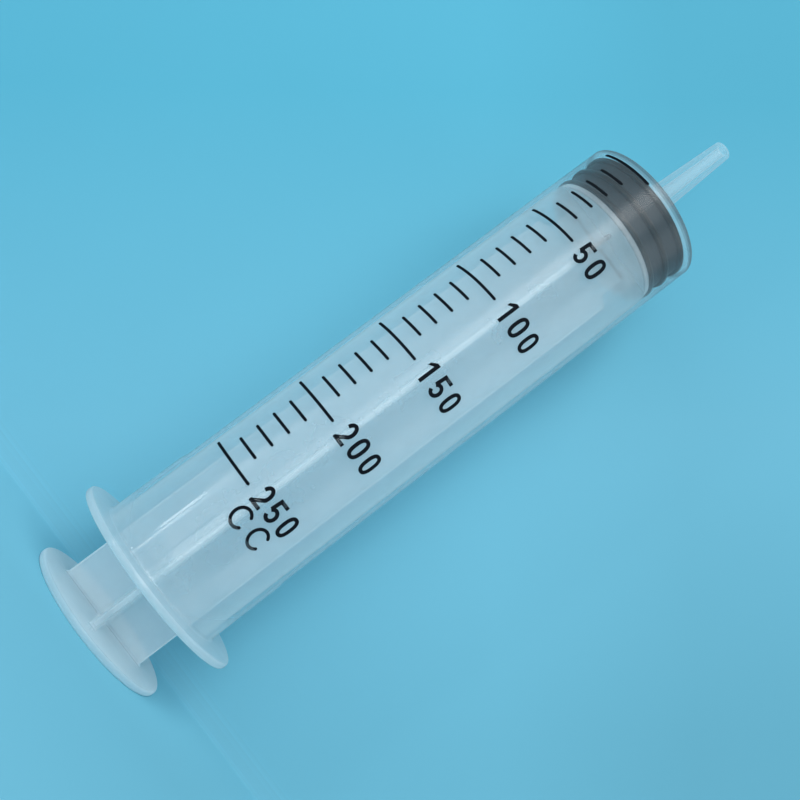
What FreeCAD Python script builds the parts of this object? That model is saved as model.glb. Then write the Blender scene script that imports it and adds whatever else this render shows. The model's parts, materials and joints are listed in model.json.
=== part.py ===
# Dispensing syringe of 250 mL: moulded barrel, cross-ribbed plunger rod and snap-on rubber stopper.
# It stands on its thumb plate with the nozzle up and the plunger fully pressed in.
# Z is the axis, and the origin is the centre of the thumb plate's outer face. Millimetres.
import FreeCAD, Part
import math
import os
import Sketcher

doc = FreeCAD.newDocument("syringe")

# Driving dimensions

DIMENSIONS = {
    # graduated bore
    "bore_diameter": 46.0,
    "mark_volume": 10.0,
    "mark_count": 25,
    "barrel_wall": 1.5,
    # open end of the barrel
    "mouth_run": 40.0,
    "flange_diameter": 67.5,
    "flange_thickness": 2.6,
    "flange_edge_bevel": 0.8,
    "flange_root_bevel": 1.0,
    "collar_length": 25.3,
    "collar_step": 0.4,
    "collar_taper": 2.5,
    "lead_in": 0.9,
    # closed end of the barrel
    "shoulder_run": 2.9,
    "front_wall": 1.8,
    "front_rise": 3.0,
    "shoulder_bevel": 0.6,
    "nozzle_length": 36.8,
    "nozzle_root_diameter": 9.6,
    "nozzle_tip_diameter": 6.5,
    "nozzle_root_radius": 2.0,
    "nozzle_tip_bevel": 0.4,
    "channel_root_diameter": 5.0,
    "channel_tip_diameter": 3.6,
    "channel_land": 12.0,
    # plunger rod
    "plate_diameter": 54.0,
    "plate_thickness": 2.3,
    "plate_edge_bevel": 0.7,
    "grip_gap": 19.0,
    "rib_span": 35.2,
    "rib_edge": 1.8,
    "rib_root": 2.6,
    "rib_root_radius": 1.6,
    "rib_foot_radius": 1.0,
    "neck_span": 28.0,
    "neck_length": 9.0,
    "neck_slope": 2.0,
    "head_thickness": 1.8,
    "head_clearance": 0.7,
    "head_edge_bevel": 0.5,
    "stem_diameter": 22.0,
    "stem_height": 4.0,
    "button_diameter": 29.0,
    "button_height": 4.4,
    "button_lead": 2.2,
    # stopper
    "stopper_length": 14.2,
    "lip_count": 3,
    "lip_width": 1.8,
    "lip_depth": 1.1,
    "lip_bevel": 0.35,
    "seal_clearance": 0.05,
    "nose_gap": 0.3,
    "socket_clearance": 0.15,
}

sheet = doc.addObject("Spreadsheet::Sheet", "sizes")
for row, (alias, number) in enumerate(DIMENSIONS.items(), start=1):
    sheet.set(f"A{row}", alias)
    sheet.set(f"B{row}", str(number))
    sheet.setAlias(f"B{row}", alias)
doc.recompute()

# Sizes that follow from the driving dimensions, each a formula on the sheet

BORE_RADIUS = "sizes.bore_diameter / 2"
BARREL_RADIUS = f"({BORE_RADIUS} + sizes.barrel_wall)"
FLANGE_RADIUS = "sizes.flange_diameter / 2"
COLLAR_RADIUS = f"({BARREL_RADIUS} + sizes.collar_step)"
MOUTH_RADIUS = f"({BORE_RADIUS} + sizes.lead_in)"
COLLAR_END = "(sizes.flange_thickness + sizes.collar_length)"
COLLAR_FOOT = f"({COLLAR_END} + sizes.collar_taper)"
# The marks stand for equal volumes, so their spacing follows from the bore's area.
CUBIC_MM_PER_ML = 1000
MARK_PITCH = f"(sizes.mark_volume * {CUBIC_MM_PER_ML} / (pi * ({BORE_RADIUS})^2))"
STROKE = f"(sizes.mark_count * {MARK_PITCH})"
ZERO_MARK = f"(sizes.mouth_run + {STROKE})"
SHOULDER = f"({ZERO_MARK} + sizes.shoulder_run)"
BORE_END = f"({SHOULDER} - sizes.front_wall)"
NOZZLE_ROOT = f"({SHOULDER} + sizes.front_rise)"
NOZZLE_TIP = f"({SHOULDER} + sizes.nozzle_length)"
CHANNEL_ROOT = f"({BORE_END} + sizes.front_rise)"
NOZZLE_ROOT_RADIUS = "sizes.nozzle_root_diameter / 2"
NOZZLE_TIP_RADIUS = "sizes.nozzle_tip_diameter / 2"
CHANNEL_ROOT_RADIUS = "sizes.channel_root_diameter / 2"
CHANNEL_TIP_RADIUS = "sizes.channel_tip_diameter / 2"
# The inside of the front wall is a cone, and the stopper's nose has the same slope.
FRONT_SLOPE = f"(sizes.front_rise / ({BORE_RADIUS} - {CHANNEL_ROOT_RADIUS}))"

LIP_RADIUS = f"({BORE_RADIUS} - sizes.seal_clearance)"
GROOVE_RADIUS = f"({LIP_RADIUS} - sizes.lip_depth)"
LIP_SPACING = "((sizes.stopper_length - sizes.lip_width) / (sizes.lip_count - 1))"
NOSE_RISE = f"({LIP_RADIUS} * {FRONT_SLOPE})"

BARREL_PLACE = "(sizes.plate_thickness + sizes.grip_gap)"
STOPPER_PLACE = f"({BARREL_PLACE} + {BORE_END} - sizes.nose_gap - sizes.stopper_length)"
HEAD_REAR = f"({STOPPER_PLACE} - sizes.head_thickness)"
NECK_START = f"({HEAD_REAR} - sizes.neck_length)"
PLATE_RADIUS = "sizes.plate_diameter / 2"
HEAD_RADIUS = f"({BORE_RADIUS} - sizes.head_clearance)"
STEM_RADIUS = "sizes.stem_diameter / 2"
BUTTON_RADIUS = "sizes.button_diameter / 2"

# Two places nearer than this are the same place.
SAME_PLACE = 1e-4


def value(formula):
    """The number that a formula on the sheet gives now."""
    result = sheet.evalExpression(formula)
    return float(getattr(result, "Value", result))


# Building blocks


def origin_feature(body, role):
    """An origin plane or axis of a body, by its role."""
    return next(item for item in body.Origin.OriginFeatures if item.Role == role)


def new_body(name):
    body = doc.addObject("PartDesign::Body", name)
    body.Label = name
    return body


def outline(body, name, role, points):
    """A closed outline through points, each given as two formulas from the sketch's origin."""
    sketch = body.newObject("Sketcher::SketchObject", name)
    sketch.AttachmentSupport = [(origin_feature(body, role), "")]
    sketch.MapMode = "FlatFace"
    corners = [FreeCAD.Vector(value(across), value(along), 0) for across, along in points]
    count = len(corners)
    for i in range(count):
        sketch.addGeometry(Part.LineSegment(corners[i], corners[(i + 1) % count]), False)
    for i in range(count):
        sketch.addConstraint(Sketcher.Constraint("Coincident", i, 2, (i + 1) % count, 1))
    for i, (across, along) in enumerate(points):
        for kind, formula in (("DistanceX", across), ("DistanceY", along)):
            number = sketch.addConstraint(Sketcher.Constraint(kind, -1, 1, i, 1, value(formula)))
            sketch.setExpression(f"Constraints[{number}]", formula)
    return sketch


def turn(body, kind, name, points):
    """A full turn about the axis of an outline given as radius and height: Revolution or Groove."""
    sketch = outline(body, f"{name}_outline", "XZ_Plane", points)
    feature = body.newObject(f"PartDesign::{kind}", name)
    feature.Profile = sketch
    feature.ReferenceAxis = (sketch, ["V_Axis"])
    feature.Angle = 360
    body.Tip = feature
    doc.recompute()
    return feature


def rings(shape, places):
    """Names of the circular edges that lie at the given radii and heights."""
    found = []
    for radius, height in places:
        for number, edge in enumerate(shape.Edges, start=1):
            curve = edge.Curve
            if not isinstance(curve, Part.Circle):
                continue
            away = math.hypot(curve.Radius - value(radius), curve.Center.z - value(height))
            if away < SAME_PLACE:
                found.append(f"Edge{number}")
    return found


def work_edges(body, kind, name, edges, size):
    """A Fillet or a Chamfer on the named edges of the body's last feature."""
    base = body.Tip
    feature = body.newObject(f"PartDesign::{kind}", name)
    feature.Base = (base, edges)
    feature.setExpression("Radius" if kind == "Fillet" else "Size", size)
    body.Tip = feature
    doc.recompute()
    return feature


def bevel(body, name, places, size):
    """A chamfer on the rings at the given radii and heights."""
    return work_edges(body, "Chamfer", name, rings(body.Tip.Shape, places), size)


# Barrel: tube, finger flange, shallow front cone and tapered nozzle in one moulding.
# Its own origin is the centre of the mouth, in the flange's rear face.


def make_barrel():
    body = new_body("barrel")
    turn(body, "Revolution", "barrel_skin", [
        ("0", "0"),
        (FLANGE_RADIUS, "0"),
        (FLANGE_RADIUS, "sizes.flange_thickness"),
        (COLLAR_RADIUS, "sizes.flange_thickness"),
        (COLLAR_RADIUS, COLLAR_END),
        (BARREL_RADIUS, COLLAR_FOOT),
        (BARREL_RADIUS, SHOULDER),
        (NOZZLE_ROOT_RADIUS, NOZZLE_ROOT),
        (NOZZLE_TIP_RADIUS, NOZZLE_TIP),
        ("0", NOZZLE_TIP),
    ])
    turn(body, "Groove", "barrel_hollow", [
        ("0", "0"),
        (MOUTH_RADIUS, "0"),
        (BORE_RADIUS, "2 * sizes.lead_in"),
        (BORE_RADIUS, BORE_END),
        (CHANNEL_ROOT_RADIUS, CHANNEL_ROOT),
        (CHANNEL_TIP_RADIUS, f"{NOZZLE_TIP} - sizes.channel_land"),
        (CHANNEL_TIP_RADIUS, NOZZLE_TIP),
        ("0", NOZZLE_TIP),
    ])
    flange_edges = [(FLANGE_RADIUS, "0"), (FLANGE_RADIUS, "sizes.flange_thickness")]
    bevel(body, "flange_edges", flange_edges, "sizes.flange_edge_bevel")
    flange_root = [(COLLAR_RADIUS, "sizes.flange_thickness")]
    bevel(body, "flange_root", flange_root, "sizes.flange_root_bevel")
    bevel(body, "shoulder_edge", [(BARREL_RADIUS, SHOULDER)], "sizes.shoulder_bevel")
    bevel(body, "nozzle_tip_edge", [(NOZZLE_TIP_RADIUS, NOZZLE_TIP)], "sizes.nozzle_tip_bevel")
    nozzle_root = rings(body.Tip.Shape, [(NOZZLE_ROOT_RADIUS, NOZZLE_ROOT)])
    work_edges(body, "Fillet", "nozzle_root", nozzle_root, "sizes.nozzle_root_radius")
    body.setExpression("Placement.Base.z", BARREL_PLACE)
    return body


# Plunger rod: thumb plate, four tapered ribs, narrowed neck, head disc, and the stem and button
# that hold the stopper. Its own origin is the centre of the thumb plate's outer face.


def make_rod():
    body = new_body("plunger_rod")
    turn(body, "Revolution", "thumb_plate", [
        ("0", "0"),
        (PLATE_RADIUS, "0"),
        (PLATE_RADIUS, "sizes.plate_thickness"),
        ("0", "sizes.plate_thickness"),
    ])
    rib_outline = outline(body, "rib_outline", "XY_Plane", [
        ("0", "-sizes.rib_root / 2"),
        ("sizes.rib_span / 2", "-sizes.rib_edge / 2"),
        ("sizes.rib_span / 2", "sizes.rib_edge / 2"),
        ("0", "sizes.rib_root / 2"),
    ])
    rib = body.newObject("PartDesign::Pad", "rib")
    rib.Profile = rib_outline
    rib.setExpression("Length", HEAD_REAR)
    body.Tip = rib
    doc.recompute()
    ribs = body.newObject("PartDesign::PolarPattern", "ribs")
    ribs.Originals = [rib]
    ribs.Axis = (rib_outline, ["N_Axis"])
    ribs.Angle = 360
    ribs.Occurrences = 4
    body.Tip = ribs
    doc.recompute()
    turn(body, "Groove", "neck", [
        ("sizes.rib_span / 2", f"{NECK_START} - sizes.neck_slope"),
        (PLATE_RADIUS, f"{NECK_START} - sizes.neck_slope"),
        (PLATE_RADIUS, HEAD_REAR),
        ("sizes.neck_span / 2", HEAD_REAR),
        ("sizes.neck_span / 2", NECK_START),
    ])
    stem_end = f"({STOPPER_PLACE} + sizes.stem_height)"
    button_end = f"({stem_end} + sizes.button_height)"
    turn(body, "Revolution", "head", [
        ("0", HEAD_REAR),
        (HEAD_RADIUS, HEAD_REAR),
        (HEAD_RADIUS, STOPPER_PLACE),
        (STEM_RADIUS, STOPPER_PLACE),
        (STEM_RADIUS, stem_end),
        (BUTTON_RADIUS, stem_end),
        (BUTTON_RADIUS, f"{button_end} - sizes.button_lead"),
        (f"{BUTTON_RADIUS} - sizes.button_lead", button_end),
        ("0", button_end),
    ])
    roots = rib_root_edges(body.Tip.Shape)
    work_edges(body, "Fillet", "rib_roots", roots, "sizes.rib_root_radius")
    feet = rib_foot_edges(body.Tip.Shape)
    work_edges(body, "Fillet", "rib_feet", feet, "sizes.rib_foot_radius")
    plate_edges = [(PLATE_RADIUS, "0"), (PLATE_RADIUS, "sizes.plate_thickness")]
    bevel(body, "plate_edges", plate_edges, "sizes.plate_edge_bevel")
    bevel(body, "head_edge", [(HEAD_RADIUS, HEAD_REAR)], "sizes.head_edge_bevel")
    return body


def rib_root_edges(shape):
    """Names of the four straight edges along the axis where neighbouring ribs meet."""
    reach = value("sizes.rib_root")
    found = []
    for number, edge in enumerate(shape.Edges, start=1):
        first, last = edge.Vertexes[0].Point, edge.Vertexes[-1].Point
        upright = math.hypot(first.x - last.x, first.y - last.y) < SAME_PLACE < edge.Length
        if upright and math.hypot(first.x, first.y) < reach:
            found.append(f"Edge{number}")
    return found


def rib_foot_edges(shape):
    """Names of the edges where the ribs stand on the thumb plate."""
    height = value("sizes.plate_thickness")
    reach = value("sizes.rib_span / 2") + value("sizes.rib_edge")
    found = []
    for number, edge in enumerate(shape.Edges, start=1):
        box = edge.BoundBox
        level = max(abs(box.ZMin - height), abs(box.ZMax - height)) < SAME_PLACE
        spots = [edge.valueAt(place) for place in edge.ParameterRange]
        if level and all(math.hypot(spot.x, spot.y) < reach for spot in spots):
            found.append(f"Edge{number}")
    return found


# Stopper: three sealing lips, a nose cone like the front wall's inside, and a socket that
# snaps over the rod's button. Its own origin is the centre of its rear face.


def make_stopper():
    body = new_body("stopper")
    profile = [("0", "0")]
    lip_edges = []
    for lip in range(int(value("sizes.lip_count"))):
        lip_rear = f"({lip} * {LIP_SPACING})"
        lip_front = f"({lip_rear} + sizes.lip_width)"
        if lip_edges:
            profile.append((GROOVE_RADIUS, lip_rear))
        lip_edges += [(LIP_RADIUS, lip_rear), (LIP_RADIUS, lip_front)]
        profile += [(LIP_RADIUS, lip_rear), (LIP_RADIUS, lip_front), (GROOVE_RADIUS, lip_front)]
    # The last lip runs straight into the nose, with no groove between them.
    profile[-1] = ("0", f"sizes.stopper_length + {NOSE_RISE}")
    turn(body, "Revolution", "stopper_skin", profile)
    gap = "sizes.socket_clearance"
    turn(body, "Groove", "socket", [
        ("0", "0"),
        (f"{STEM_RADIUS} + {gap}", "0"),
        (f"{STEM_RADIUS} + {gap}", f"sizes.stem_height - {gap}"),
        (f"{BUTTON_RADIUS} + {gap}", f"sizes.stem_height - {gap}"),
        (f"{BUTTON_RADIUS} + {gap}", "sizes.stem_height + sizes.button_height - sizes.button_lead"),
        (
            f"{BUTTON_RADIUS} + {gap} - sizes.button_lead",
            f"sizes.stem_height + sizes.button_height + {gap}",
        ),
        ("0", f"sizes.stem_height + sizes.button_height + {gap}"),
    ])
    bevel(body, "lip_edges", lip_edges, "sizes.lip_bevel")
    body.setExpression("Placement.Base.z", STOPPER_PLACE)
    return body


pieces = [make_barrel(), make_rod(), make_stopper()]
doc.recompute()

# Checks, and one file for each piece

for item in doc.Objects:
    faults = {"Invalid", "Error"}.intersection(item.State)
    if faults:
        raise RuntimeError(f"{item.Label} did not build: {sorted(faults)}")

os.makedirs("parts", exist_ok=True)
for piece in pieces:
    shape = piece.Shape
    if shape.isNull() or not shape.isValid() or len(shape.Solids) != 1:
        raise RuntimeError(f"{piece.Label} is not one sound solid")
    shape.exportStep(f"parts/{piece.Label}.step")
    box = shape.BoundBox
    print(f"{piece.Label}: {shape.Volume / CUBIC_MM_PER_ML:.2f} cm3, z {box.ZMin:.2f} to {box.ZMax:.2f}")
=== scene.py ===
import json
import math

import bmesh
import bpy
from mathutils import Matrix, Quaternion, Vector


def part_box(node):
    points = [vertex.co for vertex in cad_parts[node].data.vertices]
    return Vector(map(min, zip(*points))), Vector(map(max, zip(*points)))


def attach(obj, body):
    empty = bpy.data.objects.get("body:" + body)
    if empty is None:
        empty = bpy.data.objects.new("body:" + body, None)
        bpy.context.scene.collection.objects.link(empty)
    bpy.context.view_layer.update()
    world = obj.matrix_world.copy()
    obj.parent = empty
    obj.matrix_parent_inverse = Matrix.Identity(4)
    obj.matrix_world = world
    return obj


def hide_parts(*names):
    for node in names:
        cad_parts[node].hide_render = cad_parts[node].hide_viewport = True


bl_info = {
    "name": "Dispensing syringe",
    "version": (1, 0, 0),
    "blender": (4, 5, 0),
    "location": "3D View > Sidebar > Syringe",
    "description": "Barrel, plunger rod, stopper and printed scale of a 250 mL dispensing syringe",
    "category": "Object",
}

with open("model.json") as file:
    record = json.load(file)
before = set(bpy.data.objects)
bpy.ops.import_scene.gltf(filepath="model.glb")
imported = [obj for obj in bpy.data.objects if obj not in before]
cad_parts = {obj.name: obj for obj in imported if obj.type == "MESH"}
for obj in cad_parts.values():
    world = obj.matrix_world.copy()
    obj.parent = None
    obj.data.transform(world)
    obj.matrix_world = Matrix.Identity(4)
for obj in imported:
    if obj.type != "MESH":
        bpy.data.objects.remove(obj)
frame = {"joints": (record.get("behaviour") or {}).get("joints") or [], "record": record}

MM = 0.001

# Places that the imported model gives. The syringe stands on its thumb plate, with Z as its axis.
MOUNTS = {mount["name"]: mount for mount in frame["record"]["mounts"]}
BARREL_LOW, BARREL_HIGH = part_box("barrel")
ROD_LOW, ROD_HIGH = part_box("plunger_rod")
STOPPER_LOW, STOPPER_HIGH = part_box("stopper")
STROKE = frame["joints"][0]["range_m"][1]
BARREL_RADIUS = MOUNTS["barrel_outside"]["dims"]["r_mm"] * MM
NOZZLE_BORE_RADIUS = MOUNTS["nozzle_bore"]["dims"]["r_mm"] * MM


# Properties: the sizes and colours that a user would change


def length(label, about, millimetres):
    """A length property, given in millimetres and held in metres."""
    return bpy.props.FloatProperty(
        name=label, description=about, default=millimetres * MM, min=0, unit="LENGTH", precision=5
    )


def angle(label, about, degrees):
    """An angle property, given in degrees and held in radians."""
    return bpy.props.FloatProperty(
        name=label, description=about, default=math.radians(degrees), unit="ROTATION"
    )


def share(label, about, default):
    """A property that goes from 0 to 1."""
    return bpy.props.FloatProperty(name=label, description=about, default=default, min=0, max=1)


def number(label, about, default):
    """A plain positive number, such as a lamp's strength."""
    return bpy.props.FloatProperty(name=label, description=about, default=default, min=0)


def colour(label, about, hex_code):
    """A colour property, given as an sRGB hex code and held as linear values."""
    return bpy.props.FloatVectorProperty(
        name=label, description=about, default=linear(hex_code), size=3, min=0, max=1, subtype="COLOR"
    )


def linear(hex_code):
    """Linear red, green and blue of an sRGB hex code such as 5FB8DA."""
    parts = [int(hex_code[i : i + 2], 16) / 255 for i in (0, 2, 4)]
    return tuple(p / 12.92 if p <= 0.04045 else ((p + 0.055) / 1.055) ** 2.4 for p in parts)


class SyringeBarrelSizes(bpy.types.PropertyGroup):
    """Sizes of the barrel that its outline is drawn from."""

    wall: length("Wall", "Thickness of the tube", 1.5)
    flange_thickness: length("Flange thickness", "Thickness of the finger flange", 2.6)
    flange_edge: length("Flange edge", "Rounding of the flange's rim", 0.95)
    flange_root: length("Flange root", "Rounding where the flange meets the tube", 1.0)
    collar_length: length("Collar length", "Length of the thicker tube beyond the flange", 25.3)
    collar_step: length("Collar step", "How far the collar stands proud of the tube", 0.4)
    collar_taper: length("Collar taper", "Length of the cone at the collar's end", 2.5)
    lead_in: length("Lead-in", "Widening of the bore at its mouth", 0.9)
    front_wall: length("Front wall", "Thickness of the wall behind the nozzle", 1.8)
    front_rise: length("Front rise", "Height of the shallow cone at the front", 3.0)
    shoulder_edge: length("Shoulder edge", "Rounding of the front shoulder", 0.8)
    nozzle_length: length("Nozzle length", "From the shoulder to the nozzle's tip", 36.8)
    nozzle_root: length("Nozzle root radius", "Outer radius of the nozzle at its root", 4.8)
    nozzle_tip: length("Nozzle tip radius", "Outer radius of the nozzle at its tip", 3.25)
    nozzle_fillet: length("Nozzle fillet", "Rounding where the nozzle meets the front", 2.0)
    nozzle_edge: length("Nozzle edge", "Rounding of the nozzle's tip", 0.45)
    channel_root: length("Channel root radius", "Radius of the channel behind the nozzle", 2.5)
    channel_land: length("Channel land", "Straight length of the channel at the tip", 12.0)


class SyringeRodSizes(bpy.types.PropertyGroup):
    """Sizes of the plunger rod that its plate, ribs and head are drawn from."""

    plate_thickness: length("Plate thickness", "Thickness of the thumb plate", 2.3)
    plate_edge: length("Plate edge", "Rounding of the thumb plate's rim", 0.85)
    rib_span: length("Rib span", "Width across two opposite ribs", 35.2)
    rib_edge: length("Rib edge", "Thickness of a rib at its free edge", 1.8)
    rib_root: length("Rib root", "Thickness of a rib at the axis", 2.6)
    rib_corner: length("Rib corner", "Rounding of a rib's free edge", 0.6)
    root_radius: length("Root radius", "Rounding between neighbouring ribs", 1.6)
    foot_radius: length("Foot radius", "Rounding where the ribs stand on the plate", 1.0)
    neck_span: length("Neck span", "Width across the ribs behind the head", 28.0)
    neck_length: length("Neck length", "Length of the narrow ribs behind the head", 9.0)
    neck_slope: length("Neck slope", "Length over which the ribs narrow", 2.0)
    head_radius: length("Head radius", "Radius of the disc behind the stopper", 22.3)
    head_thickness: length("Head thickness", "Thickness of that disc", 1.8)
    head_edge: length("Head edge", "Rounding of that disc's rim", 0.5)
    stem_radius: length("Stem radius", "Radius of the stem inside the stopper", 11.0)
    stem_height: length("Stem height", "Length of the stem", 4.0)
    button_radius: length("Button radius", "Radius of the button that holds the stopper", 14.5)
    button_lead: length("Button lead", "Cone that lets the stopper snap over", 2.2)
    rib_count: bpy.props.IntProperty(name="Ribs", description="Ribs round the axis", default=4)


class SyringeStopperSizes(bpy.types.PropertyGroup):
    """Sizes of the rubber stopper."""

    body_length: length("Length", "From the rear face to the nose's edge", 14.2)
    groove_depth: length("Groove depth", "How deep the grooves between the lips are", 1.1)
    lip_width: length("Lip width", "Width of one sealing lip", 1.8)
    lip_edge: length("Lip edge", "Rounding of a lip", 0.7)
    lip_count: bpy.props.IntProperty(name="Lips", description="Sealing lips", default=3)
    socket_gap: length("Socket gap", "Play between the socket and the button", 0.15)


class SyringeScaleSizes(bpy.types.PropertyGroup):
    """Sizes and places of the scale that is printed round the barrel."""

    mark_count: bpy.props.IntProperty(name="Marks", description="Steps of 10 on the scale", default=25)
    mark_width: length("Mark width", "Width of a printed line", 0.95)
    mark_start: angle("Mark start", "Where every line starts, from the middle of the view", -59.2)
    long_end: angle("Long mark end", "Where a numbered line ends", -12.2)
    short_start: angle("Short mark start", "Where a short line starts", -47.4)
    short_end: angle("Short mark end", "Where a short line ends", -24.2)
    first_mark: length("Zero mark", "Height of the zero mark above the shoulder's far side", 2.9)
    numeral_height: length("Numeral height", "Height of a numeral", 7.7)
    numeral_width: length("Numeral width", "Width of a numeral", 4.1)
    numeral_stroke: length("Numeral stroke", "Thickness of a numeral's line", 1.2)
    numeral_pitch: length("Numeral pitch", "From one numeral's left side to the next", 5.9)
    numeral_spacing: length("Numeral spacing", "From one number's middle to the next", 29.84)
    numeral_top: length("First number", "Height of the middle of the number nearest the nozzle", 182.0)
    numeral_left: length("Numeral left", "How far left of the middle a number starts", 2.4)
    unit_height: length("Unit height", "Height of the unit's letters", 7.5)
    unit_width: length("Unit width", "Width of one of the unit's letters", 6.35)
    unit_stroke: length("Unit stroke", "Thickness of the unit's letters", 1.0)
    unit_pitch: length("Unit pitch", "From one letter's left side to the next", 8.0)
    unit_base: length("Unit base", "Height of the foot of the unit's letters", 50.3)
    ink_lift: length("Ink lift", "Clearance between the ink and the barrel", 0.012)
    ink_thickness: length("Ink thickness", "Thickness of the dried ink", 0.03)


class SyringeFinish(bpy.types.PropertyGroup):
    """Colours and surface values of the plastic, the rubber, the ink and the stage."""

    milk: colour("Milk", "Light that the plastic scatters", "F2F4F5")
    barrel_milk: share("Barrel milkiness", "Share of light that the barrel's outside scatters", 0.10)
    bore_milk: share("Bore milkiness", "The same for the inside, where it is dry", 0.27)
    front_milk: share("Front milkiness", "The same for the front wall, where the mould was polished", 0.08)
    nozzle_milk: share("Nozzle milkiness", "The same for the nozzle", 0.17)
    flange_milk: share("Flange milkiness", "The same for the flange and the root of the collar", 0.26)
    flange_rim_milk: share("Flange rim milkiness", "The same at its rim, seen through its width", 0.7)
    rod_milk: share("Rod milkiness", "Share of light that one skin of the rod scatters", 0.29)
    oiled_rod_milk: share("Oiled rod milkiness", "The same where the rod has been in the bore", 0.15)
    plate_milk: share("Plate milkiness", "The same for the thumb plate", 0.22)
    foot_milk: share("Foot milkiness", "The same where the ribs stand on the plate", 0.40)
    rib_rim_milk: share("Rib edge milkiness", "The same at the ribs' free edges", 0.5)
    disc_rim_milk: share("Disc rim milkiness", "The same at the rims of thumb plate and head", 0.30)
    # Painted shade: the view through the barrel's thick front corner, and more at its outline, is darkened
    # in place of the darker room that its refraction would show.
    painted_corner_shade: share("Corner view", "Brightness of the view through the barrel's front corner", 0.65)
    painted_edge_shade: share("Edge view", "The same at the corner's outline", 0.38)
    barrel_glow: share("Barrel glow", "Share of the scattered light that goes on through", 0.7)
    rod_glow: share("Rod glow", "The same for the thicker rod", 0.15)
    collar_gloss: share("Collar roughness", "Roughness of the polished collar", 0.10)
    barrel_gloss: share("Barrel roughness", "Roughness of the barrel beyond the collar", 0.24)
    nozzle_gloss: share("Nozzle roughness", "Roughness of the nozzle", 0.6)
    rod_gloss: share("Rod roughness", "Roughness of the plunger rod", 0.35)
    rubber: colour("Rubber", "Dark slate grey rubber", "1E272D")
    # Partly painted shade: the oiled lips are painted blacker for their contact with the bore, where no
    # air gap reflects light, besides the oil's own darkening.
    rubber_wet_contact_shade: colour("Wet rubber", "The lips where they are wet with silicone oil", "080B0D")
    ink: colour("Ink", "Printed scale", "0C0E12")
    # Painted light and shade: the board's colour is darker at the upper left and a little darker at the
    # lower right, as light falls across it.
    ground_near_painted_shade: colour("Ground at the lower right", "Floor and the backdrop's near side", "76BBCF")
    ground: colour("Ground", "Middle of the backdrop", "7BC1D6")
    ground_far_painted_shade: colour("Ground at the upper left", "The backdrop's far side", "62B5CC")
    # Painted shade: the cove is darkened, as it sees more sky than floor and backdrop.
    cove_painted_shade: colour("Cove tone", "How much of that colour the cove has, which sees more sky", "F5ECEA")
    # Painted shade: the backdrop's right side is darkened where the fill lamp lights it more.
    right_painted_shade: share("Right tone", "How much of that colour the backdrop's right side has", 0.9)
    # Painted shade and light on the floor: darker overall, where it catches more light than the backdrop,
    # and lighter by the cove, which sees less sky.
    floor_painted_shade: number("Floor tone", "How much of that colour the floor has", 0.95)
    floor_back_painted_light: number("Floor's back tone", "How much of it the floor has by the cove", 1.05)


class SyringeStageSizes(bpy.types.PropertyGroup):
    """Places of the camera, the lamps and the backdrop."""

    camera_back: length("Camera distance", "From the axis to the camera", 317.2)
    camera_height: length("Camera height", "Height of the camera", 70.3)
    aim_side: length("Aim side", "How far right of the axis the camera looks", 1.5)
    aim_height: length("Aim height", "Height that the camera looks at", 114.0)
    camera_roll: angle("Camera roll", "Turn of the camera round its line of sight", 52.9)
    lens: number("Lens", "Focal length in millimetres on a 36 mm sensor", 45.7)
    wall_gap: length("Backdrop distance", "From the axis to the backdrop", 35.2)
    cove: length("Cove", "Rounding between the floor and the backdrop", 7.0)
    half_width: length("Half width", "Half the width of the floor", 420.0)
    wall_height: length("Backdrop height", "Height of the backdrop", 520.0)
    key_strength: number("Key strength", "Brightness of the large soft lamp", 1.3)
    window_strength: number("Window strength", "Brightness of the tall lamp by the camera", 2.6)
    strip_strength: number("Strip strength", "Brightness of the thin lamp", 12.0)
    overhead_strength: number("Overhead strength", "Brightness of the lamp overhead", 3.0)
    fill_strength: number("Fill strength", "Brightness of the weak lamp on the right", 0.85)
    sky_strength: number("Sky strength", "Brightness of the light from all round", 0.6)


class SyringeSettings(bpy.types.PropertyGroup):
    """All settings of the syringe, by piece."""

    barrel: bpy.props.PointerProperty(type=SyringeBarrelSizes)
    rod: bpy.props.PointerProperty(type=SyringeRodSizes)
    stopper: bpy.props.PointerProperty(type=SyringeStopperSizes)
    scale: bpy.props.PointerProperty(type=SyringeScaleSizes)
    finish: bpy.props.PointerProperty(type=SyringeFinish)
    stage: bpy.props.PointerProperty(type=SyringeStageSizes)


# Nodes and meshes


def add_node(tree, kind, settings=None, inputs=None):
    """Adds a node. An input is a plain value, an output socket, or a node that feeds it."""
    node = tree.nodes.new(kind)
    for name, value in (settings or {}).items():
        setattr(node, name, value)
    for name, value in (inputs or {}).items():
        if isinstance(value, bpy.types.Node):
            value = value.outputs[0]
        if isinstance(value, bpy.types.NodeSocket):
            tree.links.new(value, node.inputs[name])
        else:
            node.inputs[name].default_value = value
    return node


def geometry_tree(name, sockets):
    """An empty geometry tree with named inputs. Gives the tree and its input sockets."""
    tree = bpy.data.node_groups.new(name, "GeometryNodeTree")
    for label, kind in {"Geometry": "Geometry", **sockets}.items():
        tree.interface.new_socket(label, in_out="INPUT", socket_type=f"NodeSocket{kind}")
    tree.interface.new_socket("Geometry", in_out="OUTPUT", socket_type="NodeSocketGeometry")
    return tree, tree.nodes.new("NodeGroupInput").outputs


def close_tree(tree, geometry, material):
    """Ends a tree in Realize Instances and Set Material."""
    real = add_node(tree, "GeometryNodeRealizeInstances", inputs={"Geometry": geometry})
    inked = add_node(
        tree, "GeometryNodeSetMaterial", inputs={"Geometry": real, "Material": material}
    )
    add_node(tree, "NodeGroupOutput", inputs={"Geometry": inked})


def run_tree(piece, tree, values):
    """Puts a tree on a piece as a modifier and sets its named inputs."""
    modifier = piece.modifiers.new(tree.name, "NODES")
    modifier.node_group = tree
    for item in tree.interface.items_tree:
        if item.in_out == "INPUT" and item.name in values:
            modifier[item.identifier] = values[item.name]


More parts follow.
